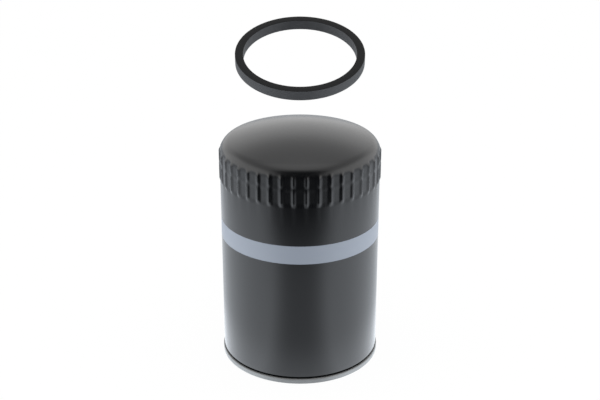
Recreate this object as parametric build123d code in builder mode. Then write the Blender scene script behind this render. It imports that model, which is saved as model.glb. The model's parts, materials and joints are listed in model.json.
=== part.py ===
from build123d import *
import os
from math import atan2, cos, degrees, hypot, pi, radians, sin, sqrt

# Spin-on oil filter, in millimetres. The can stands dome up on its rolled rim:
# the origin is on the can's axis in the plane of the rim, and +Z runs to the dome.

os.makedirs("parts", exist_ok=True)

# ---- driving dimensions ----
CAN_R = 46.5            # outside of the can's plain wall
HEIGHT = 143.0          # rim plane to the top of the dome
SHEET = 0.5             # steel sheet of the can and of the seaming lid
CROWN_R = 124.6         # sphere of the dome's crown
SHOULDER_R = 8.0        # torus between crown and wall
FLUTES = 42             # wrench flutes round the shoulder, in two tiers
FLUTE_CREST_R = 47.15   # crests between the flutes
FLUTE_ROOT_R = 46.35    # bottom of a flute
FLUTE_TOOL_R = 3.5      # the flutes' own cross radius
FLUTE_OVERRUN = 0.5     # the flute's form runs on past the wall at each end
RIM_R = 47.1            # outside of the rolled seam
RIM_HEIGHT = 3.2        # height of the rolled seam
NECK_TOP = 4.55         # the can wall necks in below this height, to enter the seam
PLATE_BOTTOM = 5.0
PLATE_THICK = 3.5
PLATE_R = 44.0
BORE_R = 8.75           # minor radius of a 3/4-16 UNF internal thread
BOSS_R = 12.0
BOSS_TOP = 17.0
LEAD_IN = 1.0           # chamfer at each end of the thread
INLET_COUNT = 8
INLET_R = 3.5
INLET_PITCH_R = 21.0
GROOVE_IN_R = 31.3      # gasket groove in the seaming lid
GROOVE_OUT_R = 36.9
GASKET_IN_R = 31.8
GASKET_OUT_R = 36.4
GASKET_HEIGHT = 6.0
GASKET_CENTRE_Z = 184.4
GASKET_TILT = 18.7      # the loose ring leans this far towards -Y
CAP_R = 41.0            # end caps of the element
CAP_SHEET = 0.4
CAP_RIM = 4.4
TUBE_OUT_R = 16.9
TUBE_SHEET = 0.6
ADHESIVE = 2.0
MEDIA_HEIGHT = 100.2
PLEATS = 50
PLEAT_OUT_R = 39.6
PLEAT_IN_R = 17.6
PAPER = 0.6
RUN_CLEARANCE = 0.08    # radial clearance of the valve stem in its guide
FACE_CLEARANCE = 0.05   # between a closed valve and what it closes on

# ---- heights and radii that follow ----
plate_top = PLATE_BOTTOM + PLATE_THICK
lower_cap_top = BOSS_TOP + CAP_SHEET
media_bottom = lower_cap_top + ADHESIVE
media_top = media_bottom + MEDIA_HEIGHT
upper_cap_bottom = media_top + ADHESIVE
upper_cap_top = upper_cap_bottom + CAP_SHEET
crown_centre_z = HEIGHT - CROWN_R
shoulder_centre_r = CAN_R - SHOULDER_R
shoulder_centre_z = crown_centre_z + sqrt((CROWN_R - SHOULDER_R) ** 2 - shoulder_centre_r**2)
crown_half_angle = atan2(shoulder_centre_r, shoulder_centre_z - crown_centre_z)


def sheet_outline(path, thickness):
    """Closed outline of a strip of even thickness, with mitred corners, along an open path of (r, z) points."""
    normals = []
    for (r0, z0), (r1, z1) in zip(path, path[1:]):
        length = hypot(r1 - r0, z1 - z0)
        normals.append(((z0 - z1) / length, (r1 - r0) / length))
    one_side, other_side = [], []
    for i, (r, z) in enumerate(path):
        before = normals[max(i - 1, 0)]
        after = normals[min(i, len(normals) - 1)]
        share = 1 + before[0] * after[0] + before[1] * after[1]
        shift_r = thickness / 2 * (before[0] + after[0]) / share
        shift_z = thickness / 2 * (before[1] + after[1]) / share
        one_side.append((r + shift_r, z + shift_z))
        other_side.append((r - shift_r, z - shift_z))
    return one_side + other_side[::-1]


def finish(part, name):
    """Labels a finished piece and writes it."""
    part.label = name
    export_step(part, f"parts/{name}.step")


def write_ring(name, outline):
    """A turned or pressed ring: a closed (r, z) outline revolved about the can's axis."""
    with BuildPart() as ring:
        with BuildSketch(Plane.XZ):
            with BuildLine():
                Polyline(*outline, close=True)
            make_face()
        revolve(axis=Axis.Z)
    finish(ring.part, name)


def write_washer(name, inner_r, outer_r, bottom, top):
    """A plain flat ring between two heights."""
    write_ring(name, [(inner_r, bottom), (outer_r, bottom), (outer_r, top), (inner_r, top)])


# ---- canister: one drawn steel can, necked and hooked into the seam, domed and fluted ----
BODY_HOOK_R = 46.3      # centre of the hook's sheet, inside the lid's outer wall
NECK_R = 45.2           # centre of the can's sheet where it runs down the seam
HOOK_TURN_Z = 1.05
HOOK_TOP_Z = 2.4
NECK_BOTTOM_Z = 3.4
FLUTE_BAND = (110.5, 113.0, 127.0, 130.3)   # the band swells, stays full, and fades on the shoulder
TIERS = ((112.5, 123.0, 0.0), (123.3, 131.0, 12.0))   # bottom, top and inward lean of each row of flutes


def dome_point(offset, angle):
    """Point of the shoulder's arc at an angle above the horizontal, moved in by an offset."""
    radius = SHOULDER_R - offset
    return (shoulder_centre_r + radius * cos(angle), shoulder_centre_z + radius * sin(angle))


def crown_point(offset, angle):
    """Point of the crown's arc at an angle from the axis, moved in by an offset."""
    radius = CROWN_R - offset
    return (radius * sin(angle), crown_centre_z + radius * cos(angle))


shoulder_end = pi / 2 - crown_half_angle
shoulder_start = atan2(FLUTE_BAND[3] - shoulder_centre_z, SHOULDER_R)
neck_half = SHEET / 2
with BuildPart() as canister:
    with BuildSketch(Plane.XZ):
        with BuildLine():
            Polyline(
                (0, HEIGHT - SHEET),
                (0, HEIGHT),
            )
            ThreePointArc((0, HEIGHT), crown_point(0, crown_half_angle / 2), crown_point(0, crown_half_angle))
            ThreePointArc(
                crown_point(0, crown_half_angle),
                dome_point(0, (shoulder_end + shoulder_start) / 2),
                dome_point(0, shoulder_start),
            )
            Polyline(
                dome_point(0, shoulder_start),
                (FLUTE_CREST_R, FLUTE_BAND[2]),
                (FLUTE_CREST_R, FLUTE_BAND[1]),
                (CAN_R, FLUTE_BAND[0]),
                (CAN_R, NECK_TOP),
                (NECK_R + neck_half, NECK_BOTTOM_Z),
                (NECK_R + neck_half, HOOK_TURN_Z + neck_half),
                (BODY_HOOK_R - neck_half, HOOK_TURN_Z + neck_half),
                (BODY_HOOK_R - neck_half, HOOK_TOP_Z),
                (BODY_HOOK_R + neck_half, HOOK_TOP_Z),
                (BODY_HOOK_R + neck_half, HOOK_TURN_Z - neck_half),
                (NECK_R - neck_half, HOOK_TURN_Z - neck_half),
                (NECK_R - neck_half, NECK_BOTTOM_Z + neck_half),
                (CAN_R - SHEET, NECK_TOP + neck_half),
                (CAN_R - SHEET, shoulder_centre_z),
            )
            ThreePointArc(
                (CAN_R - SHEET, shoulder_centre_z),
                dome_point(SHEET, shoulder_end / 2),
                crown_point(SHEET, crown_half_angle),
            )
            ThreePointArc(
                crown_point(SHEET, crown_half_angle),
                crown_point(SHEET, crown_half_angle / 2),
                (0, HEIGHT - SHEET),
            )
        make_face()
    revolve(axis=Axis.Z)
    for bottom, top, lean in TIERS:
        half = (top - bottom) / 2
        sink = FLUTE_CREST_R - FLUTE_ROOT_R
        arc_r = (half**2 + sink**2) / (2 * sink)
        reach = half + FLUTE_OVERRUN
        end_r = FLUTE_TOOL_R - arc_r + sqrt(arc_r**2 - reach**2)
        with BuildSketch(Plane.XZ, mode=Mode.PRIVATE) as flute_half:
            with BuildLine():
                ThreePointArc((end_r, -reach), (FLUTE_TOOL_R, 0), (end_r, reach))
                Polyline((end_r, reach), (0, reach), (0, -reach), (end_r, -reach))
            make_face()
        spindle = revolve(flute_half.sketch, axis=Axis.Z, mode=Mode.PRIVATE)
        with PolarLocations(0, FLUTES, start_angle=180 / FLUTES):
            with Locations(Location((FLUTE_ROOT_R + FLUTE_TOOL_R, 0, bottom + half), (0, -lean, 0))):
                add(spindle, mode=Mode.SUBTRACT)
can_shell = canister.part.solids().sort_by(SortBy.VOLUME)[-1]   # without loose chips of the flute cuts
finish(can_shell, "canister")

# ---- seaming lid: thin steel ring rolled round the can's hook, with the gasket groove ----
COVER_WALL_R = RIM_R - SHEET / 2
COVER_HOOK_R = 45.75
CHUCK_WALL_R = 44.65
COVER_HOOK_END_Z = 1.4
LEDGE_Z = 2.05          # centre of the sheet between the chuck wall and the groove
LIP_END_Z = 1.8
groove_roof_z = PLATE_BOTTOM - SHEET / 2
write_ring(
    "seaming_lid",
    sheet_outline(
        [
            (COVER_HOOK_R, COVER_HOOK_END_Z),
            (COVER_HOOK_R, RIM_HEIGHT - SHEET / 2),
            (COVER_WALL_R, RIM_HEIGHT - SHEET / 2),
            (COVER_WALL_R, SHEET / 2),
            (CHUCK_WALL_R, SHEET / 2),
            (CHUCK_WALL_R, LEDGE_Z),
            (GROOVE_OUT_R + SHEET / 2, LEDGE_Z),
            (GROOVE_OUT_R + SHEET / 2, groove_roof_z),
            (GROOVE_IN_R - SHEET / 2, groove_roof_z),
            (GROOVE_IN_R - SHEET / 2, LIP_END_Z),
        ],
        SHEET,
    ),
)

# ---- sealing compound between the two hooks of the seam ----
write_washer(
    "seam_sealant", NECK_R - neck_half, BODY_HOOK_R + neck_half, SHEET, HOOK_TURN_Z - neck_half
)

# ---- base plate: thick steel disc with the threaded boss and the inlet holes ----
with BuildPart() as base_plate:
    with BuildSketch(Plane.XZ):
        with BuildLine():
            Polyline(
                (BORE_R + LEAD_IN, PLATE_BOTTOM),
                (PLATE_R, PLATE_BOTTOM),
                (PLATE_R, plate_top),
                (BOSS_R, plate_top),
                (BOSS_R, BOSS_TOP),
                (BORE_R + LEAD_IN, BOSS_TOP),
                (BORE_R, BOSS_TOP - LEAD_IN),
                (BORE_R, PLATE_BOTTOM + LEAD_IN),
                close=True,
            )
        make_face()
    revolve(axis=Axis.Z)
    with Locations(Plane.XY.offset(plate_top)):
        with PolarLocations(INLET_PITCH_R, INLET_COUNT):
            Hole(INLET_R, depth=PLATE_THICK)
finish(base_plate.part, "base_plate")

# ---- anti-drain valve: rubber collar round the boss, with a skirt that covers the inlet holes ----
COLLAR_R = BOSS_R + 0.1
SKIRT_R = 29.5
skirt_bottom = plate_top + FACE_CLEARANCE
write_ring(
    "anti_drain_valve",
    [
        (COLLAR_R, 12.2),
        (14.2, 12.2),
        (26.5, skirt_bottom + 0.35),
        (SKIRT_R, skirt_bottom),
        (SKIRT_R, skirt_bottom + 0.95),
        (26.8, skirt_bottom + 1.4),
        (15.2, 14.6),
        (14.8, 15.6),
        (COLLAR_R, 15.6),
    ],
)

# ---- element: end caps, adhesive, perforated tube, pleated paper and its clip ----
LOWER_CAP_HOLE_R = 10.5
UPPER_CAP_HOLE_R = 12.0
cap_wall_r = CAP_R - CAP_SHEET / 2
write_ring(
    "lower_end_cap",
    sheet_outline(
        [
            (LOWER_CAP_HOLE_R, BOSS_TOP + CAP_SHEET / 2),
            (cap_wall_r, BOSS_TOP + CAP_SHEET / 2),
            (cap_wall_r, BOSS_TOP + CAP_RIM),
        ],
        CAP_SHEET,
    ),
)
write_ring(
    "upper_end_cap",
    sheet_outline(
        [
            (UPPER_CAP_HOLE_R, upper_cap_top - CAP_SHEET / 2),
            (cap_wall_r, upper_cap_top - CAP_SHEET / 2),
            (cap_wall_r, upper_cap_top - CAP_RIM),
        ],
        CAP_SHEET,
    ),
)
write_washer("lower_adhesive", TUBE_OUT_R, CAP_R - CAP_SHEET, lower_cap_top, media_bottom)
write_washer("upper_adhesive", TUBE_OUT_R, CAP_R - CAP_SHEET, media_top, upper_cap_bottom)

PERFORATION_R = 2.5
PERFORATIONS_ROUND = 10
PERFORATION_ROWS = 9
tube_height = upper_cap_bottom - lower_cap_top
row_pitch = tube_height / (PERFORATION_ROWS + 1)
with BuildPart() as centre_tube:
    with BuildSketch(Plane.XY.offset(lower_cap_top)):
        Circle(TUBE_OUT_R)
        Circle(TUBE_OUT_R - TUBE_SHEET, mode=Mode.SUBTRACT)
    extrude(amount=tube_height)
    for row in range(PERFORATION_ROWS):
        for k in range(PERFORATIONS_ROUND):
            turn = 360 / PERFORATIONS_ROUND * (k + row % 2 / 2)
            row_z = lower_cap_top + row_pitch * (row + 1)
            face_plane = Plane(
                origin=(0, 0, row_z), x_dir=(0, 0, 1), z_dir=(cos(radians(turn)), sin(radians(turn)), 0)
            )
            with BuildSketch(face_plane):
                Circle(PERFORATION_R)
            extrude(amount=TUBE_OUT_R + 1, mode=Mode.SUBTRACT)
finish(centre_tube.part, "centre_tube")

CREST_HALF = 0.55       # half the flat of an outer fold
VALLEY_HALF = 0.5       # half the flat of an inner fold
pleat_turn = 2 * pi / PLEATS


def fold_line(outer_r, inner_r, outer_half, inner_half):
    """One face of the pleated paper, as a closed star of folds."""
    points = []
    for k in range(PLEATS):
        for radius, half_width, angle in (
            (outer_r, outer_half, k * pleat_turn),
            (inner_r, inner_half, (k + 0.5) * pleat_turn),
        ):
            for side in (-1, 1):
                a = angle + side * half_width / radius
                points.append((radius * cos(a), radius * sin(a)))
    return points


with BuildPart() as pleated_media:
    with BuildSketch(Plane.XY.offset(media_bottom)):
        with BuildLine():
            Polyline(
                *fold_line(
                    PLEAT_OUT_R + PAPER / 2, PLEAT_IN_R + PAPER / 2, CREST_HALF + PAPER / 2, VALLEY_HALF - PAPER / 2
                ),
                close=True,
            )
        make_face()
        with BuildLine():
            Polyline(
                *fold_line(
                    PLEAT_OUT_R - PAPER / 2, PLEAT_IN_R - PAPER / 2, CREST_HALF - PAPER / 2, VALLEY_HALF + PAPER / 2
                ),
                close=True,
            )
        make_face(mode=Mode.SUBTRACT)
    extrude(amount=MEDIA_HEIGHT)
finish(pleated_media.part, "pleated_media")

CLIP_SHEET = 0.35
CLIP_DEPTH = 5.5
clip_slot = 2 * (CREST_HALF + PAPER / 2 + FACE_CLEARANCE)
clip_inner_x = PLEAT_OUT_R + PAPER / 2 + FACE_CLEARANCE
with BuildPart() as media_seam_clip:
    with BuildSketch(Plane.XY.offset(media_bottom)):
        with Locations((clip_inner_x + CLIP_SHEET, 0)):
            Rectangle(CLIP_DEPTH + CLIP_SHEET, clip_slot + 2 * CLIP_SHEET, align=(Align.MAX, Align.CENTER))
        with Locations((clip_inner_x, 0)):
            Rectangle(CLIP_DEPTH, clip_slot, align=(Align.MAX, Align.CENTER), mode=Mode.SUBTRACT)
    extrude(amount=MEDIA_HEIGHT)
finish(media_seam_clip.part, "media_seam_clip")

# ---- bypass valve in the upper end cap: it opens down into the perforated tube ----
SEAT_HOLE_R = 8.0
SEAT_FLANGE_R = 15.0
SEAT_SHEET = 0.6
SEAL_THICK = 1.5
SEAL_R = 10.5
DISC_R = 10.0
DISC_THICK = 0.8
STEM_R = 2.0
STEM_HEAD_R = 4.0
STEM_HEAD = 0.8
CAGE_R = 12.9           # centre of the cage wall's sheet
CAGE_BOTTOM = 103.4
CAGE_FLANGE_R = 15.8
STEM_END = 101.6
write_ring(
    "bypass_valve_seat",
    [
        (SEAT_HOLE_R, upper_cap_top),
        (UPPER_CAP_HOLE_R - SEAT_SHEET, upper_cap_top),
        (UPPER_CAP_HOLE_R - SEAT_SHEET, upper_cap_top - 2.5),
        (UPPER_CAP_HOLE_R, upper_cap_top - 2.5),
        (UPPER_CAP_HOLE_R, upper_cap_top),
        (SEAT_FLANGE_R, upper_cap_top),
        (SEAT_FLANGE_R, upper_cap_top + SEAT_SHEET),
        (SEAT_HOLE_R, upper_cap_top + SEAT_SHEET),
    ],
)
seal_top = upper_cap_top - FACE_CLEARANCE
seal_bottom = seal_top - SEAL_THICK
disc_bottom = seal_bottom - DISC_THICK
write_washer("bypass_valve_seal", STEM_R, SEAL_R, seal_bottom, seal_top)
write_washer("bypass_valve_disc", STEM_R, DISC_R, disc_bottom, seal_bottom)
write_ring(
    "bypass_valve_stem",
    [
        (0, STEM_END),
        (STEM_R, STEM_END),
        (STEM_R, seal_top),
        (STEM_HEAD_R, seal_top),
        (STEM_HEAD_R, seal_top + STEM_HEAD),
        (0, seal_top + STEM_HEAD),
    ],
)

WINDOWS = 4
WINDOW_WIDTH = 12.0
WINDOW_HEIGHT = 11.0
cage_outline = sheet_outline(
    [
        (STEM_R + RUN_CLEARANCE, CAGE_BOTTOM + SEAT_SHEET / 2),
        (CAGE_R, CAGE_BOTTOM + SEAT_SHEET / 2),
        (CAGE_R, upper_cap_bottom - SEAT_SHEET / 2),
        (CAGE_FLANGE_R, upper_cap_bottom - SEAT_SHEET / 2),
    ],
    SEAT_SHEET,
)
with BuildPart() as bypass_valve_cage:
    with BuildSketch(Plane.XZ):
        with BuildLine():
            Polyline(*cage_outline, close=True)
        make_face()
    revolve(axis=Axis.Z)
    with Locations((0, 0, CAGE_BOTTOM + 2.5)):
        with PolarLocations(CAGE_R, WINDOWS):
            Box(
                4 * SEAT_SHEET,
                WINDOW_WIDTH,
                WINDOW_HEIGHT,
                align=(Align.CENTER, Align.CENTER, Align.MIN),
                mode=Mode.SUBTRACT,
            )
finish(bypass_valve_cage.part, "bypass_valve_cage")


def write_coil(name, coil_r, wire_r, bottom, top, turns):
    """A round-wire coil spring whose end turns touch the faces at bottom and top."""
    rise = top - bottom - 2 * wire_r
    with BuildPart() as coil:
        with BuildLine(Plane.XY.offset(bottom + wire_r)) as centre_line:
            Helix(pitch=rise / turns, height=rise, radius=coil_r)
        with BuildSketch(Plane(centre_line.line @ 0, z_dir=centre_line.line % 0)):
            Circle(wire_r)
        sweep(is_frenet=True)
    finish(coil.part, name)


BYPASS_COIL_R = 7.0
BYPASS_WIRE_R = 0.5
BYPASS_TURNS = 5.5
SPRING_GAP = 0.2        # the ends of a helix rise a little past its last turn
write_coil(
    "bypass_spring",
    BYPASS_COIL_R,
    BYPASS_WIRE_R,
    CAGE_BOTTOM + SEAT_SHEET + SPRING_GAP,
    disc_bottom - SPRING_GAP,
    BYPASS_TURNS,
)

# ---- element spring: it presses the element down on the boss from inside the dome ----
ELEMENT_COIL_R = 20.0
ELEMENT_WIRE_R = 1.1
ELEMENT_TURNS = 4
inner_crown_r = CROWN_R - SHEET
dome_over_coil = crown_centre_z + sqrt(inner_crown_r**2 - (ELEMENT_COIL_R + ELEMENT_WIRE_R) ** 2)
write_coil(
    "element_spring",
    ELEMENT_COIL_R,
    ELEMENT_WIRE_R,
    upper_cap_top + SPRING_GAP,
    dome_over_coil - SPRING_GAP,
    ELEMENT_TURNS,
)

# ---- sealing gasket: loose square-cut rubber ring, held coaxially over the dome ----
GASKET_EDGE = 0.3
gasket_plane = Plane.XY.offset(GASKET_CENTRE_Z).rotated((GASKET_TILT, 0, 0))
with BuildPart(gasket_plane) as sealing_gasket:
    Cylinder(GASKET_OUT_R, GASKET_HEIGHT)
    Cylinder(GASKET_IN_R, GASKET_HEIGHT, mode=Mode.SUBTRACT)
    chamfer(sealing_gasket.edges().filter_by(GeomType.CIRCLE), GASKET_EDGE)
finish(sealing_gasket.part, "sealing_gasket")
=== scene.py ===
import json
from math import atan2, cos, exp, pi, radians, sin, sqrt, tan

import bmesh
import bpy
from mathutils import Matrix, Vector


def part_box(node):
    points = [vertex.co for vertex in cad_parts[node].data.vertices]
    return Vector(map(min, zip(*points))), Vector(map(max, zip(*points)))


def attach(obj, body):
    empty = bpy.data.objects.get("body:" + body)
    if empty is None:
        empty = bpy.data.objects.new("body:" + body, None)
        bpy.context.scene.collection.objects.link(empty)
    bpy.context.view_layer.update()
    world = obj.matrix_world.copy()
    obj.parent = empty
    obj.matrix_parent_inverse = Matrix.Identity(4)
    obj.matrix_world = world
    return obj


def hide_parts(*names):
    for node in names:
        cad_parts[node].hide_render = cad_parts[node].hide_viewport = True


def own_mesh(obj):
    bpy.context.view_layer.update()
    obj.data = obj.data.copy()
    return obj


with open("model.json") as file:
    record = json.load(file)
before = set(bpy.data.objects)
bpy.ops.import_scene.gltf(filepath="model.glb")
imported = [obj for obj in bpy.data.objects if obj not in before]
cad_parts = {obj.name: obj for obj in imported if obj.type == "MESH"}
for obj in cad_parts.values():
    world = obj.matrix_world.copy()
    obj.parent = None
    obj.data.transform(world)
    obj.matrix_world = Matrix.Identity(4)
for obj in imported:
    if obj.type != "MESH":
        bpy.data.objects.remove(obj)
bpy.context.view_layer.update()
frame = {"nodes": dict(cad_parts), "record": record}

MM = 0.001

# ---------------------------------------------------------------- driving sizes
can_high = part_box("canister")[1]

CAN_R = 46.5 * MM                   # outside of the plain wall
CREST_R = can_high.x                # crests between the flutes
HEIGHT = can_high.z
SHEET = 0.5 * MM                    # steel sheet of the can and of the seaming lid
CROWN_R = 124.6 * MM                # sphere of the dome's crown
SHOULDER_R = 8.0 * MM               # torus between crown and wall
FLUTES = 42
FLUTE_ROOT_R = 46.35 * MM           # bottom of a flute
RIDGE_WIDTH = 0.3                   # width of a crest, as a share of half a flute
BAND = (111.6 * MM, 131.9 * MM)     # heights between which the flutes are pressed
BAND_FADE = (3.2 * MM, 3.6 * MM)    # height that they take to reach full depth, from below and from above
WAIST_Z = 123.1 * MM                # shallow waist between the two rows of flutes
WAIST_HALF = 1.5 * MM
WAIST_LOSS = 0.4                    # share of the depth that is missing at the waist
STRIPE = (77.75 * MM, 88.8 * MM)    # heights of the painted band

crown_z = HEIGHT - CROWN_R
shoulder_r = CAN_R - SHOULDER_R
shoulder_z = crown_z + sqrt((CROWN_R - SHOULDER_R) ** 2 - shoulder_r**2)
crown_half_angle = atan2(shoulder_r, shoulder_z - crown_z)


# ---------------------------------------------------------------- mesh helpers
def smooth(x):
    """A soft step from 0 to 1."""
    x = min(max(x, 0.0), 1.0)
    return x * x * (3 - 2 * x)


def to_object(name, bm):
    """An object in the scene that takes over a bmesh."""
    mesh = bpy.data.meshes.new(name)
    bm.to_mesh(mesh)
    bm.free()
    thing = bpy.data.objects.new(name, mesh)
    bpy.context.scene.collection.objects.link(thing)
    return thing


def new_piece(name, bm, material_slot, node, body="filter", smooth_angle=40):
    """Turns a bmesh into a named piece that rides on a body and stands for a CAD node."""
    bmesh.ops.recalc_face_normals(bm, faces=bm.faces)
    piece = to_object(name, bm)
    piece.data.materials.append(MATERIALS[material_slot])
    piece.data.shade_smooth()
    piece.data.set_sharp_from_angle(angle=radians(smooth_angle))
    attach(piece, body)
    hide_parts(node)
    return piece


def rounded(points, radius, steps=4, closed=True):
    """The same outline with each corner rounded, as far as its two sides allow."""
    out = []
    count = len(points)
    for i, here in enumerate(points):
        if not closed and i in (0, count - 1):
            out.append(here)
            continue
        here = Vector(here)
        back = Vector(points[i - 1]) - here
        ahead = Vector(points[(i + 1) % count]) - here
        half = back.angle(ahead) / 2
        if half > radians(88):
            out.append(tuple(here))
            continue
        reach = min(radius / tan(half), 0.48 * back.length, 0.48 * ahead.length)
        start = here + back.normalized() * reach
        end = here + ahead.normalized() * reach
        centre = here + (back.normalized() + ahead.normalized()).normalized() * (reach / cos(half))
        bulge = (start - centre).length
        for k in range(steps + 1):
            mix = start.lerp(end, k / steps) - centre
            out.append(tuple(centre + mix.normalized() * bulge))
    return out


def offset_line(line, shift, closed=False):
    """A line moved sideways by a distance, with its corners kept sharp."""
    moved = []
    count = len(line)
    for i, here in enumerate(line):
        here = Vector(here)
        before = (here - Vector(line[i - 1])).normalized() if closed or i else None
        after = (Vector(line[(i + 1) % count]) - here).normalized() if closed or i + 1 < count else None
        along = ((before or after) + (after or before)).normalized()
        across = Vector((-along.y, along.x)) * shift
        if before and after:
            across /= max(cos(before.angle(after) / 2), 0.5)
        moved.append(tuple(here + across))
    return moved


def sheet_outline(path, thickness, bend, steps=4):
    """Closed outline of a bent sheet of even thickness, whose centre line bends with a radius."""
    line = rounded(path, bend, steps, closed=False)
    return offset_line(line, thickness / 2) + offset_line(line, -thickness / 2)[::-1]


def bridge(bm, loops, closed):
    """Faces between loops of vertices that follow each other; a loop of one vertex is a pole."""
    pairs = list(zip(loops, loops[1:]))
    if closed:
        pairs.append((loops[-1], loops[0]))
    for low, high in pairs:
        count = max(len(low), len(high))
        if count == 1:
            continue
        for k in range(count):
            n = (k + 1) % count
            corners = [low[k % len(low)], low[n % len(low)], high[n % len(high)], high[k % len(high)]]
            face = [v for i, v in enumerate(corners) if v not in corners[:i]]
            bm.faces.new(face)


def turned(outline, segments=192, closed=True, press=None):
    """A bmesh of an (r, z) outline revolved about Z. Points on the axis become one vertex.

    press(turn, r, z) gives the (r, z) of a point at a turn, for a shape that isn't quite round."""
    bm = bmesh.new()
    loops = []
    for r, z in outline:
        if r < 1e-7:
            loops.append([bm.verts.new((0, 0, z))])
            continue
        loop = []
        for k in range(segments):
            a = 2 * pi * k / segments
            pr, pz = press(a, r, z) if press else (r, z)
            loop.append(bm.verts.new((pr * cos(a), pr * sin(a), pz)))
        loops.append(loop)
    bridge(bm, loops, closed)
    return bm


def prism(outline, bottom, top):
    """A bmesh of an (x, y) outline pushed up from one height to another, with flat ends."""
    bm = bmesh.new()
    low = [bm.verts.new((x, y, bottom)) for x, y in outline]
    high = [bm.verts.new((x, y, top)) for x, y in outline]
    bridge(bm, [low, high], closed=False)
    bm.faces.new(low[::-1])
    bm.faces.new(high)
    return bm


def repeated(make, count, radius):
    """One bmesh of several copies of a shape, spaced evenly round the axis."""
    whole = bmesh.new()
    for k in range(count):
        bm = make()
        turn = 2 * pi * k / count
        bm.transform(Matrix.Rotation(turn, 4, "Z") @ Matrix.Translation((radius, 0, 0)))
        mesh = bpy.data.meshes.new("copy")
        bm.to_mesh(mesh)
        bm.free()
        whole.from_mesh(mesh)
        bpy.data.meshes.remove(mesh)
    return whole


def cut(bm, tool_bm):
    """The first bmesh minus the second."""
    things = []
    for name, part in (("cut_body", bm), ("cut_tool", tool_bm)):
        bmesh.ops.recalc_face_normals(part, faces=part.faces)
        things.append(to_object(name, part))
    modifier = things[0].modifiers.new("cut", "BOOLEAN")
    modifier.operation = "DIFFERENCE"
    modifier.object = things[1]
    modifier.solver = "EXACT"
    evaluated = things[0].evaluated_get(bpy.context.evaluated_depsgraph_get())
    made = bpy.data.meshes.new_from_object(evaluated)
    result = bmesh.new()
    result.from_mesh(made)
    bpy.data.meshes.remove(made)
    for thing in things:
        bpy.data.objects.remove(thing)
    return result


def smooth_rise(x):
    """Rises from 0 to 1, gently at the ends and evenly between them."""
    return x - 0.06 * sin(2 * pi * x)


def coil(centre_r, wire_r, bottom, top, turns, sides=16, steps=56):
    """A wire spring with a closed turn at each end, ground flat at the bottom and top heights."""
    bm = bmesh.new()
    loops = []
    count = int(turns * steps)
    grind = 0.35 * wire_r
    low, high = bottom + wire_r - grind, top - wire_r + grind
    lead = 0.9 / turns                                  # share of the wire in a closed end turn
    rise = 2 * wire_r * 0.98 / (high - low)             # share of the height that both closed turns climb
    for i in range(count + 1):
        t = i / count
        if t < lead:
            share = rise * 0.5 * (t / lead) ** 1.5
        elif t > 1 - lead:
            share = 1 - rise * 0.5 * ((1 - t) / lead) ** 1.5
        else:
            share = rise * 0.5 + (1 - rise) * smooth_rise((t - lead) / (1 - 2 * lead))
        a = 2 * pi * turns * t
        z = low + (high - low) * share
        loop = []
        for k in range(sides):
            b = 2 * pi * k / sides
            r = centre_r + wire_r * cos(b)
            height = min(max(z + wire_r * sin(b), bottom), top)
            loop.append(bm.verts.new((r * cos(a), r * sin(a), height)))
        loops.append(loop)
    bridge(bm, loops, closed=False)
    bm.faces.new(loops[0][::-1])
    bm.faces.new(loops[-1])
    return bm


# ---------------------------------------------------------------- material helpers
def nodes_of(name):
    """An empty node material with a Principled shader: (material, tree, shader)."""
    material = bpy.data.materials.new(name)
    material.use_nodes = True
    tree = material.node_tree
    return material, tree, tree.nodes["Principled BSDF"]


def add(tree, kind, **values):
    """A node with its inputs set by name."""
    node = tree.nodes.new(kind)
    for name, value in values.items():
        node.inputs[name].default_value = value
    return node


def object_space(tree):
    return tree.nodes.new("ShaderNodeTexCoord").outputs["Object"]


def noise(tree, vector, scale, detail=4.0, roughness=0.5, stretch=None):
    """Noise in object space, in cycles per metre, stretched along an axis if asked."""
    if stretch:
        mapping = tree.nodes.new("ShaderNodeMapping")
        mapping.inputs["Scale"].default_value = stretch
        tree.links.new(vector, mapping.inputs["Vector"])
        vector = mapping.outputs["Vector"]
    node = add(tree, "ShaderNodeTexNoise", Scale=scale, Detail=detail, Roughness=roughness)
    tree.links.new(vector, node.inputs["Vector"])
    return node.outputs["Fac"]


def ramp(tree, value, start, end, low, high, curve="SMOOTHSTEP"):
    """A value mapped from start..end to low..high, clamped, with soft ends unless the curve is LINEAR."""
    node = tree.nodes.new("ShaderNodeMapRange")
    node.interpolation_type = curve
    for name, number in (("From Min", start), ("From Max", end), ("To Min", low), ("To Max", high)):
        node.inputs[name].default_value = number
    tree.links.new(value, node.inputs["Value"])
    return node.outputs["Result"]


def spread(tree, value, low, high, from_low=0.3, from_high=0.7):
    """A noise's middle range mapped evenly to low..high."""
    return ramp(tree, value, from_low, from_high, low, high, "LINEAR")


def mix_colour(tree, factor, first, second):
    """Mixes two colours or sockets by a factor socket."""
    node = tree.nodes.new("ShaderNodeMix")
    node.data_type = "RGBA"
    tree.links.new(factor, node.inputs["Factor"])
    for value, socket in ((first, node.inputs[6]), (second, node.inputs[7])):
        if isinstance(value, bpy.types.NodeSocket):
            tree.links.new(value, socket)
        else:
            socket.default_value = (*value, 1.0)
    return node.outputs[2]


def arithmetic(tree, operation, first, second=0.0):
    """One step of arithmetic between sockets or numbers."""
    node = tree.nodes.new("ShaderNodeMath")
    node.operation = operation
    for value, socket in ((first, node.inputs[0]), (second, node.inputs[1])):
        if isinstance(value, bpy.types.NodeSocket):
            tree.links.new(value, socket)
        else:
            socket.default_value = value
    return node.outputs[0]


def times(tree, first, second):
    return arithmetic(tree, "MULTIPLY", first, second)


def plus(tree, first, second):
    return arithmetic(tree, "ADD", first, second)


def split_axes(tree, vector):
    """The x, y and z of a vector socket."""
    split = tree.nodes.new("ShaderNodeSeparateXYZ")
    tree.links.new(vector, split.inputs[0])
    return split.outputs["X"], split.outputs["Y"], split.outputs["Z"]


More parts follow.
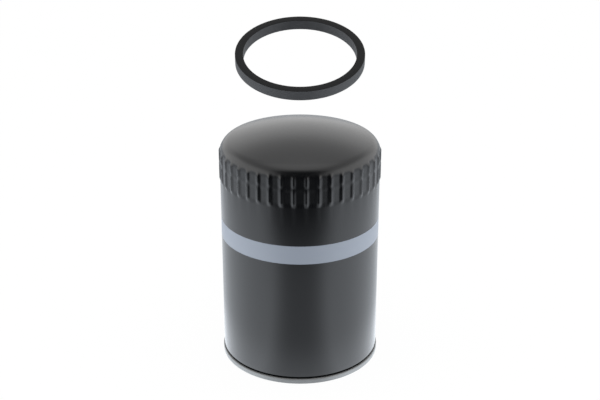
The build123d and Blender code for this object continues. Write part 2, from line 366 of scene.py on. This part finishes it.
def mix_shader(tree, factor, first, second):
    """The output of a mix of two shaders; the factor is a socket or a number."""
    node = tree.nodes.new("ShaderNodeMixShader")
    if isinstance(factor, bpy.types.NodeSocket):
        tree.links.new(factor, node.inputs[0])
    else:
        node.inputs[0].default_value = factor
    tree.links.new(first, node.inputs[1])
    tree.links.new(second, node.inputs[2])
    return node.outputs[0]


def bump(tree, shader, height, strength, distance):
    """Fine relief from a height socket; the distance is in metres."""
    node = add(tree, "ShaderNodeBump", Strength=strength, Distance=distance)
    tree.links.new(height, node.inputs["Height"])
    tree.links.new(node.outputs["Normal"], shader.inputs["Normal"])


def step_between(tree, value, low, high, blur):
    """1 between low and high, 0 outside, with soft edges of the given width."""
    rise = spread(tree, value, 0.0, 1.0, low - blur, low + blur)
    fall = spread(tree, value, 1.0, 0.0, high - blur, high + blur)
    return times(tree, rise, fall)


# ---------------------------------------------------------------- materials
def can_paint():
    """Satin black paint over drawn sheet steel, with a printed silver-blue band."""
    material, tree, shader = nodes_of("can_paint")
    position = object_space(tree)
    band = step_between(tree, split_axes(tree, position)[2], *STRIPE, 0.12 * MM)
    cloud = noise(tree, position, 45.0, 3.0)
    black = mix_colour(tree, cloud, (0.0022, 0.0024, 0.003), (0.0032, 0.0034, 0.004))
    silver = mix_colour(tree, cloud, (0.25, 0.28, 0.332), (0.267, 0.297, 0.35))
    tree.links.new(mix_colour(tree, band, black, silver), shader.inputs["Base Color"])
    rough = spread(tree, noise(tree, position, 60.0, 4.0), 0.23, 0.25)
    tree.links.new(plus(tree, rough, times(tree, band, 0.18)), shader.inputs["Roughness"])
    peel = noise(tree, position, 420.0, 2.0)
    height = plus(tree, times(tree, peel, 0.12), times(tree, band, 0.6))
    bump(tree, shader, height, 0.08, 0.00002)
    shader.inputs["Specular IOR Level"].default_value = 0.6
    return material


ROLLED = (1.0, 1.0, 14.0)     # grain drawn out round the axis
EVEN = (1.0, 1.0, 1.0)        # grain the same every way
GRAIN_SCALE = 220.0           # cycles per metre


def steel(name, dark, light, rough_low, rough_high, grain=ROLLED, metallic=1.0):
    """Rolled sheet steel: fine grain, faint stains and uneven polish."""
    material, tree, shader = nodes_of(name)
    position = object_space(tree)
    fine = noise(tree, position, GRAIN_SCALE * 4, 5.0, 0.6, grain)
    stains = noise(tree, position, GRAIN_SCALE / 3, 4.0)
    tone = spread(tree, times(tree, plus(tree, fine, stains), 0.5), 0.0, 1.0)
    tree.links.new(mix_colour(tree, tone, dark, light), shader.inputs["Base Color"])
    tree.links.new(spread(tree, fine, rough_low, rough_high), shader.inputs["Roughness"])
    shader.inputs["Metallic"].default_value = metallic
    bump(tree, shader, fine, 0.15, 0.00002)
    return material


def rubber(name, dark, light, rough_low, rough_high, gloss=0.4):
    """Moulded rubber: fine matt skin with a faint bloom."""
    material, tree, shader = nodes_of(name)
    position = object_space(tree)
    bloom = noise(tree, position, 120.0, 5.0, 0.6)
    colour = mix_colour(tree, spread(tree, bloom, 0.0, 1.0), dark, light)
    tree.links.new(colour, shader.inputs["Base Color"])
    skin = noise(tree, position, 2600.0, 3.0, 0.6)
    tree.links.new(spread(tree, bloom, rough_low, rough_high), shader.inputs["Roughness"])
    bump(tree, shader, skin, 0.3, 0.00004)
    shader.inputs["Specular IOR Level"].default_value = gloss
    return material


def filter_paper():
    """Resin-treated cellulose: mottled fibres and small embossed dimples."""
    material, tree, shader = nodes_of("filter_paper")
    position = object_space(tree)
    fibre = noise(tree, position, 900.0, 6.0, 0.65, (1.0, 1.0, 0.35))
    blotch = noise(tree, position, 70.0, 3.0)
    base = mix_colour(tree, spread(tree, fibre, 0.0, 1.0), (0.5, 0.35, 0.17), (0.72, 0.56, 0.32))
    colour = mix_colour(tree, spread(tree, blotch, 0.0, 0.35), base, (0.42, 0.28, 0.13))
    tree.links.new(colour, shader.inputs["Base Color"])
    dimples = add(tree, "ShaderNodeTexVoronoi", Scale=330.0)
    tree.links.new(position, dimples.inputs["Vector"])
    height = plus(tree, times(tree, dimples.outputs["Distance"], 0.6), fibre)
    bump(tree, shader, height, 0.4, 0.00015)
    tree.links.new(spread(tree, fibre, 0.82, 0.95), shader.inputs["Roughness"])
    return material


def adhesive():
    """Cured plastisol: a warm, slightly glossy poured bed."""
    material, tree, shader = nodes_of("adhesive")
    position = object_space(tree)
    cloud = noise(tree, position, 160.0, 4.0)
    colour = mix_colour(tree, spread(tree, cloud, 0.0, 1.0), (0.5, 0.38, 0.22), (0.63, 0.51, 0.33))
    tree.links.new(colour, shader.inputs["Base Color"])
    tree.links.new(spread(tree, cloud, 0.38, 0.55), shader.inputs["Roughness"])
    bump(tree, shader, cloud, 0.4, 0.0003)
    return material


MATERIALS = {
    "black_paint": can_paint(),
    "bare_steel": steel("bare_steel", (0.165, 0.168, 0.168), (0.215, 0.219, 0.219), 0.4, 0.5, metallic=0.5),
    "plate_steel": steel("plate_steel", (0.27, 0.265, 0.25), (0.4, 0.39, 0.37), 0.34, 0.5, EVEN),
    "tinned_steel": steel("tinned_steel", (0.5, 0.5, 0.49), (0.66, 0.66, 0.65), 0.22, 0.36),
    "spring_steel": steel("spring_steel", (0.2, 0.2, 0.21), (0.34, 0.34, 0.35), 0.26, 0.38, EVEN),
    "sealing_compound": rubber("sealing_compound", (0.3, 0.28, 0.24), (0.37, 0.35, 0.3), 0.6, 0.75),
    # the ring's flat faces: rubber made near-black, darker than rubber is, as painted shade
    "gasket_rubber": rubber(
        "gasket_rubber", (0.005, 0.0052, 0.0055), (0.007, 0.0072, 0.0078), 0.5, 0.58, 0.12
    ),
    # the ring's walls: a lighter grey than the faces, as painted light
    "gasket_wall_painted_light": rubber("gasket_wall_painted_light", (0.046, 0.047, 0.05), (0.06, 0.062, 0.066), 0.5, 0.6, 0.35),
    "valve_rubber": rubber("valve_rubber", (0.016, 0.016, 0.016), (0.026, 0.026, 0.026), 0.45, 0.6),
    "adhesive": adhesive(),
    "filter_paper": filter_paper(),
}


# ---------------------------------------------------------------- canister
NECK_R = 45.2 * MM          # centre of the sheet where the can runs down into the seam
HOOK_R = 46.3 * MM          # centre of the sheet in the hook, inside the lid's outer wall
HOOK_TURN_Z = 1.05 * MM
HOOK_TOP_Z = 2.4 * MM
NECK_BOTTOM_Z = 3.35 * MM
NECK_TOP_Z = 4.55 * MM
WALL_START_Z = 7.5 * MM
CROWN_ROWS = 13


def pressed(turn, r, z):
    """A point of the wall after two rows of flutes with raised crests are pressed into it."""
    if not BAND[0] < z < BAND[1]:
        return r, z
    across = abs(2 * ((turn / (2 * pi) * FLUTES + 0.5) % 1.0) - 1)
    hollow = FLUTE_ROOT_R - CAN_R + (CREST_R - FLUTE_ROOT_R) * exp(-((across / RIDGE_WIDTH) ** 2))
    depth = smooth((z - BAND[0]) / BAND_FADE[0]) * smooth((BAND[1] - z) / BAND_FADE[1])
    depth *= 1 - WAIST_LOSS * exp(-(((z - WAIST_Z) / WAIST_HALF) ** 2))
    return r + hollow * depth, z


def wall_path(offset, band_rows):
    """The can's wall from above the neck to the dome's top, moved in by an offset."""
    points = [(CAN_R - offset, z * MM) for z in (8, 40, 75, 100)]
    for k in range(band_rows + 1):
        points.append((CAN_R - offset, BAND[0] + (shoulder_z - BAND[0]) * k / band_rows))
    arc_rows = max(band_rows // 2, 12)
    for k in range(1, arc_rows + 1):
        a = (pi / 2 - crown_half_angle) * (k / arc_rows) ** 1.2
        radius = SHOULDER_R - offset
        points.append((shoulder_r + radius * cos(a), shoulder_z + radius * sin(a)))
    for k in range(1, CROWN_ROWS):
        a = crown_half_angle * (1 - k / CROWN_ROWS)
        radius = CROWN_R - offset
        points.append((radius * sin(a), crown_z + radius * cos(a)))
    return points + [(0, HEIGHT - offset)]


def make_canister():
    wall = CAN_R - SHEET / 2
    seam_line = rounded(
        [
            (HOOK_R, HOOK_TOP_Z), (HOOK_R, HOOK_TURN_Z), (NECK_R, HOOK_TURN_Z), (NECK_R, NECK_BOTTOM_Z),
            (wall, NECK_TOP_Z), (wall, WALL_START_Z),
        ],
        0.35 * MM, 4, closed=False,
    )
    outside = offset_line(seam_line, -SHEET / 2) + wall_path(0.0, 44)
    inside = offset_line(seam_line, SHEET / 2) + wall_path(SHEET, 28)
    bm = turned(outside[::-1] + inside, FLUTES * 12, closed=False, press=pressed)
    new_piece("can_shell", bm, "black_paint", "canister", smooth_angle=50)


# ---------------------------------------------------------------- seaming lid and compound
WELD_COUNT = 8
WELD_R = 34.1 * MM
WELD_HALF = 1.9 * MM
WELD_DEPTH = 0.16 * MM

# radii and heights of the centre of the lid's sheet, from the cover hook inwards
COVER_HOOK_R = 45.75 * MM
COVER_HOOK_END_Z = 1.4 * MM
RIM_WALL_R = 46.85 * MM
RIM_TOP_Z = 2.8 * MM
RIM_BOTTOM_Z = 0.25 * MM
CHUCK_WALL_R = 44.65 * MM
LEDGE_Z = 2.05 * MM
GROOVE_OUT_R = 37.15 * MM
GROOVE_IN_R = 31.05 * MM
GROOVE_ROOF_Z = 4.75 * MM
LIP_END_Z = 1.8 * MM


def weld_marks(turn, r, z):
    """Shallow round dents of the spot welds in the roof of the gasket groove."""
    if not (abs(r - WELD_R) < 2.4 * MM and z > 4 * MM):
        return r, z
    pitch = 2 * pi / WELD_COUNT
    aside = ((turn + pitch / 2) % pitch - pitch / 2) * r
    far = sqrt(aside**2 + (r - WELD_R) ** 2)
    return r, z + WELD_DEPTH * (1 - smooth(far / WELD_HALF))


def make_lid():
    roof = [((36.0 - 0.38 * k) * MM, GROOVE_ROOF_Z) for k in range(11)]
    path = [
        (COVER_HOOK_R, COVER_HOOK_END_Z), (COVER_HOOK_R, RIM_TOP_Z), (RIM_WALL_R, RIM_TOP_Z),
        (RIM_WALL_R, RIM_BOTTOM_Z), (CHUCK_WALL_R, RIM_BOTTOM_Z), (CHUCK_WALL_R, LEDGE_Z),
        (GROOVE_OUT_R, LEDGE_Z), (GROOVE_OUT_R, GROOVE_ROOF_Z), *roof,
        (GROOVE_IN_R, GROOVE_ROOF_Z), (GROOVE_IN_R, LIP_END_Z),
    ]
    bm = turned(sheet_outline(path, SHEET, 0.28 * MM, 4), 320, press=weld_marks)
    new_piece("rolled_lid", bm, "bare_steel", "seaming_lid")
    low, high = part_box("seam_sealant")
    inner = 44.95 * MM
    bead = rounded([(inner, low.z), (high.x, low.z), (high.x, high.z), (inner, high.z)], 0.12 * MM, 3)
    new_piece("seam_bead", turned(bead, 192), "sealing_compound", "seam_sealant")


# ---------------------------------------------------------------- base plate
THREAD_PITCH = 25.4 * MM / 16
THREAD_R = 8.75 * MM
THREAD_DEPTH = 0.82 * MM
LEAD_IN = 1.0 * MM            # chamfer at each end of the thread
THREAD_ROWS = 104
PLATE_THICK = 3.5 * MM
BOSS_R = 12.0 * MM
INLET_R = 3.5 * MM
INLET_CHAMFER = 0.35 * MM
INLET_PITCH_R = 21.0 * MM


def make_base_plate():
    low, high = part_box("base_plate")
    plate_top = low.z + PLATE_THICK
    end_r = THREAD_R + LEAD_IN
    outside = rounded(
        [
            (end_r, low.z), (high.x, low.z), (high.x, plate_top), (BOSS_R, plate_top),
            (BOSS_R, high.z), (end_r, high.z),
        ],
        0.7 * MM, 5, closed=False,
    )
    bore = [(THREAD_R, high.z + (low.z - high.z) * k / THREAD_ROWS) for k in range(1, THREAD_ROWS)]

    def thread(turn, r, z):
        if r > THREAD_R + 0.1 * MM:
            return r, z
        phase = (z / THREAD_PITCH - turn / (2 * pi)) % 1.0
        groove = min(max((abs(2 * phase - 1) - 0.25) / 0.6, 0.0), 1.0)
        chamfer = THREAD_R + LEAD_IN - min(z - low.z, high.z - z)
        return max(THREAD_R + THREAD_DEPTH * groove, chamfer), z

    plate = turned(outside + bore, 128, press=thread)
    beyond = 0.5 * MM
    flare = INLET_R + INLET_CHAMFER + beyond
    side = [
        (0, low.z - beyond), (flare, low.z - beyond), (INLET_R, low.z + INLET_CHAMFER),
        (INLET_R, plate_top - INLET_CHAMFER), (flare, plate_top + beyond), (0, plate_top + beyond),
    ]
    holes = repeated(lambda: turned(side, 48, closed=False), 8, INLET_PITCH_R)
    new_piece("threaded_plate", cut(plate, holes), "plate_steel", "base_plate", smooth_angle=35)


# ---------------------------------------------------------------- anti-drain valve
def make_anti_drain():
    """A collar round the boss, and a conical skirt with a bead that stiffens it."""
    low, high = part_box("anti_drain_valve")
    inner = 12.1 * MM
    bottom = low.z
    outline = [
        (inner, bottom + 3.65 * MM), (14.2 * MM, bottom + 3.65 * MM), (26.5 * MM, bottom + 0.35 * MM),
        (27.6 * MM, bottom + 0.3 * MM), (high.x, bottom), (high.x, bottom + 0.95 * MM),
        (26.8 * MM, bottom + 1.4 * MM), (20.6 * MM, bottom + 3.55 * MM),
        (20.2 * MM, bottom + 3.95 * MM), (19.8 * MM, bottom + 3.85 * MM),
        (15.2 * MM, bottom + 6.05 * MM), (14.8 * MM, high.z), (inner, high.z),
    ]
    bm = turned(rounded(outline, 0.35 * MM, 4), 192)
    new_piece("drain_back_collar", bm, "valve_rubber", "anti_drain_valve", body="anti_drain")


# ---------------------------------------------------------------- element: caps, adhesive, paper and clip
CAP_SHEET = 0.4 * MM


def make_caps():
    """Both end caps: a flat with a pressed rib, and a rim that turns towards the paper."""
    for name, node, hole, up in (
        ("lower_cap", "lower_end_cap", 10.5 * MM, 1),
        ("upper_cap", "upper_end_cap", 12.0 * MM, -1),
    ):
        low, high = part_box(node)
        face = low.z + CAP_SHEET / 2 if up > 0 else high.z - CAP_SHEET / 2
        rim = high.z if up > 0 else low.z
        rib = face - up * 0.35 * MM
        wall = high.x - CAP_SHEET / 2
        path = [
            (hole, face), (25.5 * MM, face), (26.5 * MM, rib), (29.5 * MM, rib), (30.5 * MM, face),
            (wall, face), (wall, rim),
        ]
        bm = turned(sheet_outline(path, CAP_SHEET, 0.9 * MM, 5), 224)
        new_piece(name, bm, "tinned_steel", node)


def make_adhesive():
    inner = 16.9 * MM
    for name, node in (("lower_bed", "lower_adhesive"), ("upper_bed", "upper_adhesive")):
        low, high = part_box(node)
        outer = high.x
        outline = rounded([(inner, low.z), (outer, low.z), (outer, high.z), (inner, high.z)], 0.45 * MM, 4)
        new_piece(name, turned(outline, 200), "adhesive", node)


PLEATS = 50
PLEAT_OUT_R = 39.6 * MM
PLEAT_IN_R = 17.6 * MM
PAPER = 0.6 * MM              # thickness
CREST_HALF = 0.55 * MM
VALLEY_HALF = 0.5 * MM


def make_paper():
    """The folded sheet, as an outer and an inner skin that meet at the bottom and the top."""
    low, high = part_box("pleated_media")
    folds = []
    for k in range(PLEATS):
        for radius, half, turn in ((PLEAT_OUT_R, CREST_HALF, k), (PLEAT_IN_R, VALLEY_HALF, k + 0.5)):
            for side in (-1, 1):
                a = 2 * pi * turn / PLEATS + side * half / radius
                folds.append((radius * cos(a), radius * sin(a)))
    line = rounded(folds, 0.45 * MM, 3)
    bm = bmesh.new()
    rows = 8
    walls = []
    for shift in (-PAPER / 2, PAPER / 2):
        outline = offset_line(line, shift, closed=True)
        loops = []
        for row in range(rows + 1):
            z = low.z + (high.z - low.z) * row / rows
            loops.append([bm.verts.new((x, y, z)) for x, y in outline])
        bridge(bm, loops, closed=False)
        walls.append(loops)
    bridge(bm, [walls[0][0], walls[1][0]], closed=False)
    bridge(bm, [walls[0][-1], walls[1][-1]], closed=False)
    new_piece("pleated_paper", bm, "filter_paper", "pleated_media", smooth_angle=60)


def make_clip():
    low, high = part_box("media_seam_clip")
    sheet = 0.35 * MM
    wall = high.y - sheet / 2
    path = [(low.x, -wall), (high.x - sheet / 2, -wall), (high.x - sheet / 2, wall), (low.x, wall)]
    bm = prism(sheet_outline(path, sheet, 0.5 * MM, 5), low.z, high.z)
    new_piece("seam_clip", bm, "tinned_steel", "media_seam_clip", smooth_angle=30)


# ---------------------------------------------------------------- bypass valve
STEM_R = 2.0 * MM
STEM_CLEARANCE = 0.08 * MM    # between the stem and the cage's guide hole
VALVE_SHEET = 0.6 * MM        # sheet of the seat and of the cage
SEAT_HOLE_R = 8.0 * MM
SKIRT_R = 12.0 * MM
CAGE_R = 12.9 * MM            # centre of the sheet in the cage's wall
WINDOW_HALF = 6.0 * MM
WINDOW_HEIGHT = 11.0 * MM


def make_seat():
    low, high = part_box("bypass_valve_seat")
    under = high.z - VALVE_SHEET
    inner = SKIRT_R - VALVE_SHEET
    outline = [
        (SEAT_HOLE_R, under), (inner, under), (inner, low.z), (SKIRT_R, low.z), (SKIRT_R, under),
        (high.x, under), (high.x, high.z), (SEAT_HOLE_R, high.z),
    ]
    bm = turned(rounded(outline, 0.22 * MM, 4), 160)
    new_piece("bypass_seat", bm, "tinned_steel", "bypass_valve_seat")


def make_poppet():
    """Washer, disc and stem, which open together."""
    low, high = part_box("bypass_valve_seal")
    dip = high.z - 0.3 * MM
    outline = [
        (STEM_R, low.z), (high.x, low.z), (high.x, high.z - 0.25 * MM), (9.8 * MM, high.z),
        (8.8 * MM, high.z), (SEAT_HOLE_R, dip), (6.0 * MM, dip), (5.2 * MM, high.z), (STEM_R, high.z),
    ]
    bm = turned(rounded(outline, 0.3 * MM, 4), 160)
    new_piece("bypass_seal", bm, "valve_rubber", "bypass_valve_seal", body="bypass_poppet")

    low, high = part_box("bypass_valve_disc")
    outline = rounded([(STEM_R, low.z), (high.x, low.z), (high.x, high.z), (STEM_R, high.z)], 0.2 * MM, 4)
    new_piece("bypass_disc", turned(outline, 160), "tinned_steel", "bypass_valve_disc", body="bypass_poppet")

    low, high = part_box("bypass_valve_stem")
    under = high.z - 0.8 * MM
    outline = rounded(
        [(0, low.z), (STEM_R, low.z), (STEM_R, under), (high.x, under), (high.x, high.z), (0, high.z)],
        0.35 * MM, 5, closed=False,
    )
    bm = turned(outline, 96, closed=False)
    new_piece("bypass_stem", bm, "plate_steel", "bypass_valve_stem", body="bypass_poppet")


def make_cage():
    """A deep-drawn cup with a guide hole in its floor and four windows in its wall."""
    low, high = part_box("bypass_valve_cage")
    floor, flange = low.z + VALVE_SHEET / 2, high.z - VALVE_SHEET / 2
    path = [(STEM_R + STEM_CLEARANCE, floor), (CAGE_R, floor), (CAGE_R, flange), (high.x, flange)]
    cage = turned(sheet_outline(path, VALVE_SHEET, 0.7 * MM, 5), 160)
    sill = low.z + 2.5 * MM
    lintel = sill + WINDOW_HEIGHT
    corners = [(-WINDOW_HALF, sill), (WINDOW_HALF, sill), (WINDOW_HALF, lintel), (-WINDOW_HALF, lintel)]
    window = rounded(corners, 1.2 * MM, 5)

    def window_tool():
        bm = prism(window, -2 * MM, 2 * MM)
        bm.transform(Matrix(((0, 0, 1, 0), (1, 0, 0, 0), (0, 1, 0, 0), (0, 0, 0, 1))))
        return bm

    bm = cut(cage, repeated(window_tool, 4, CAGE_R))
    new_piece("bypass_cage", bm, "tinned_steel", "bypass_valve_cage", smooth_angle=35)


def make_bypass_spring():
    """The coil stands on the cage's floor and reaches up to the underside of the disc; it gets a mesh of its
    own.
    """
    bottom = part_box("bypass_valve_cage")[0].z + VALVE_SHEET
    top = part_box("bypass_valve_disc")[0].z
    bm = coil(7.0 * MM, 0.5 * MM, bottom, top, 7.0)
    spring = new_piece("bypass_coil", bm, "spring_steel", "bypass_spring", smooth_angle=50)
    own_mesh(spring)


def make_element_spring():
    low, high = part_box("element_spring")
    gap = 0.15 * MM                 # the ground end turn comes down to just above the cap
    bm = coil(20.0 * MM, 1.1 * MM, low.z - gap, high.z, 5.0)
    new_piece("element_coil", bm, "spring_steel", "element_spring", smooth_angle=50)


# ---------------------------------------------------------------- sealing ring
GASKET_IN_R = 31.8 * MM
GASKET_OUT_R = 36.4 * MM
GASKET_HALF = 3.0 * MM
GASKET_TILT = 18.7            # degrees that the loose ring leans towards -Y


def make_gasket():
    """The loose ring. Its walls are painted a lighter grey-black as painted light, and its cut faces are
    painted darker as painted shade, for how light falls on the sides and on the top.
    """
    low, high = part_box("sealing_gasket")
    corners = [
        (GASKET_IN_R, -GASKET_HALF), (GASKET_OUT_R, -GASKET_HALF),
        (GASKET_OUT_R, GASKET_HALF), (GASKET_IN_R, GASKET_HALF),
    ]
    bm = turned(rounded(corners, 0.3 * MM, 5), 256)
    # the walls get the painted-light material and the flat faces the painted-shade one
    for face in bm.faces:
        middle = face.calc_center_median()
        face.material_index = 1 if abs(middle.z) < GASKET_HALF - 0.1 * MM else 0
    centre = Matrix.Translation((0, 0, (low.z + high.z) / 2))
    bm.transform(centre @ Matrix.Rotation(radians(GASKET_TILT), 4, "X"))
    ring = new_piece("sealing_ring", bm, "gasket_rubber", "sealing_gasket", body="gasket")
    # second material: the lighter walls, painted light
    ring.data.materials.append(MATERIALS["gasket_wall_painted_light"])
    ring.visible_glossy = False     # the photo's dome doesn't mirror the ring


make_canister()
make_lid()
make_base_plate()
make_anti_drain()
make_caps()
make_adhesive()
make_paper()
make_clip()
make_seat()
make_poppet()
make_cage()
make_bypass_spring()
make_element_spring()
make_gasket()

# the CAD nodes get the same materials, for those that are carried over as they are
for entry in frame["record"]["subparts"]:
    node = frame["nodes"][entry["node"]]
    node.data.materials.clear()
    node.data.materials.append(MATERIALS[entry["material_slot"]])


# ---------------------------------------------------------------- stage, light and camera
FLOOR_REACH = 5.0
FLOOR_Z = -0.05 * MM
FLOOR_WHITE = 0.96                    # share of plain white that the camera sees; the rest takes shadows
FLOOR_TINT = (0.89, 0.94, 1.0, 1.0)   # colour of the glow that the object reflects

# The floor's glow depends on the way a point lies from the can (frontness: 1 in front, -1 behind) and on its
# distance. Each row has the start and end of a ramp, then the values that it runs between.
GLOW_ASIDE = (0.78, 1.0, 1.75, 0.68)
GLOW_BEHIND = (-0.9, 0.3, 0.75, 1.0)
FRONT_ZONE = (0.6, 0.93, 0.0, 1.0)    # where FADE_ASIDE gives way to FADE_FRONT
FADE_FRONT = (0.2, 0.275, 1.0, 0.0)   # by distance in metres, like the next two
FADE_ASIDE = (0.2, 0.42, 1.0, 0.55)
GLOW_NEAR = (0.05, 0.1, 0.65, 0.0)    # extra light close to the rim

# The world, by direction: a bright back wall and sides, lower overhead, and a dark front.
WORLD_BACK = (-0.72, -0.42, 0.0, 1.27)
WORLD_SIDES = (0.35, 0.85, 0.0, 1.7)
WORLD_HIGH = (0.46, 0.66, 1.0, 0.64)
WORLD_OVERHEAD = (0.8, 0.98, 0.0, 0.42)
AMBIENT = 0.03

FILL_POWER = 6.0


def glow_strength(tree):
    """How brightly the floor shines at each of its points, for everything but the camera."""
    x, y, _ = split_axes(tree, object_space(tree))
    far = arithmetic(tree, "SQRT", plus(tree, times(tree, x, x), times(tree, y, y)))
    frontness = arithmetic(tree, "DIVIDE", times(tree, y, -1.0), plus(tree, far, 0.001))
    aside = times(tree, ramp(tree, frontness, *GLOW_ASIDE), ramp(tree, frontness, *GLOW_BEHIND))
    in_front = ramp(tree, frontness, *FRONT_ZONE)
    not_in_front = arithmetic(tree, "SUBTRACT", 1.0, in_front)
    front_fade = times(tree, ramp(tree, far, *FADE_FRONT), in_front)
    side_fade = times(tree, ramp(tree, far, *FADE_ASIDE), not_in_front)
    fade = plus(tree, front_fade, side_fade)
    return plus(tree, times(tree, aside, fade), ramp(tree, far, *GLOW_NEAR))


def emission(tree, colour, strength):
    """The output of an emission shader; the strength is a socket or a number."""
    node = add(tree, "ShaderNodeEmission", Color=colour)
    if isinstance(strength, bpy.types.NodeSocket):
        tree.links.new(strength, node.inputs["Strength"])
    else:
        node.inputs["Strength"].default_value = strength
    return node.outputs[0]


def floor_material():
    """White to the camera, a shaped glow to everything else, and clear to a camera below it."""
    material, tree, shader = nodes_of("pale_floor")
    shader.inputs["Base Color"].default_value = (0.95, 0.95, 0.95, 1.0)
    shader.inputs["Roughness"].default_value = 0.9
    shader.inputs["Specular IOR Level"].default_value = 0.0
    glow = emission(tree, FLOOR_TINT, glow_strength(tree))
    white = emission(tree, (1.0, 1.0, 1.0, 1.0), 1.0)
    seen = mix_shader(tree, FLOOR_WHITE, shader.outputs[0], white)
    camera_ray = tree.nodes.new("ShaderNodeLightPath").outputs["Is Camera Ray"]
    top = mix_shader(tree, camera_ray, glow, seen)
    backfacing = tree.nodes.new("ShaderNodeNewGeometry").outputs["Backfacing"]
    clear = tree.nodes.new("ShaderNodeBsdfTransparent").outputs[0]
    surface = mix_shader(tree, times(tree, backfacing, camera_ray), top, clear)
    tree.links.new(surface, tree.nodes["Material Output"].inputs["Surface"])
    return material


def make_floor():
    bm = bmesh.new()
    square = ((-1, -1), (1, -1), (1, 1), (-1, 1))
    bm.faces.new([bm.verts.new((x * FLOOR_REACH, y * FLOOR_REACH, FLOOR_Z)) for x, y in square])
    floor = to_object("floor", bm)
    floor.data.materials.append(floor_material())


def make_world():
    """A white backdrop for the camera, and a studio for what the object reflects."""
    world = bpy.data.worlds.new("studio")
    bpy.context.scene.world = world
    world.use_nodes = True
    tree = world.node_tree
    background = tree.nodes["Background"]
    x, y, z = split_axes(tree, tree.nodes.new("ShaderNodeTexCoord").outputs["Generated"])
    back = ramp(tree, y, *WORLD_BACK)
    sides = ramp(tree, arithmetic(tree, "ABSOLUTE", x), *WORLD_SIDES)
    overhead = plus(tree, ramp(tree, z, *WORLD_HIGH), ramp(tree, z, *WORLD_OVERHEAD))
    total = plus(tree, times(tree, arithmetic(tree, "MAXIMUM", back, sides), overhead), AMBIENT)
    camera_ray = tree.nodes.new("ShaderNodeLightPath").outputs["Is Camera Ray"]
    unseen = times(tree, total, arithmetic(tree, "SUBTRACT", 1.0, camera_ray))
    tree.links.new(plus(tree, unseen, camera_ray), background.inputs["Strength"])
    background.inputs["Color"].default_value = (1.0, 1.0, 1.0, 1.0)


def make_fill():
    """A large soft light over the camera. It lights matt surfaces and leaves the gloss alone."""
    lamp = bpy.data.lights.new("fill", "AREA")
    lamp.shape = "RECTANGLE"
    lamp.size, lamp.size_y = 0.9, 0.6
    lamp.energy = FILL_POWER
    light = bpy.data.objects.new("fill", lamp)
    bpy.context.scene.collection.objects.link(light)
    light.location = (0, -1.1, 0.75)
    light.rotation_mode = "QUATERNION"
    light.rotation_quaternion = (Vector((0, 0, 0.08)) - light.location).to_track_quat("-Z", "Y")
    light.visible_glossy = False


CAMERA_PITCH = 23.35          # degrees above the horizon
CAMERA_DISTANCE = 15 * CAN_R
CAMERA_AIM_Z = 2.087 * CAN_R
CAMERA_LENS = 71.0


def make_camera():
    pitch = radians(CAMERA_PITCH)
    aim = Vector((0, 0, CAMERA_AIM_Z))
    camera_data = bpy.data.cameras.new("camera")
    camera_data.lens = CAMERA_LENS
    camera_data.sensor_width = 36.0
    camera = bpy.data.objects.new("camera", camera_data)
    bpy.context.scene.collection.objects.link(camera)
    camera.location = aim + CAMERA_DISTANCE * Vector((0, -cos(pitch), sin(pitch)))
    camera.rotation_mode = "QUATERNION"
    camera.rotation_quaternion = (aim - camera.location).to_track_quat("-Z", "Y")
    bpy.context.scene.camera = camera


make_floor()
make_world()
make_fill()
make_camera()
bpy.context.scene.view_settings.view_transform = "Standard"
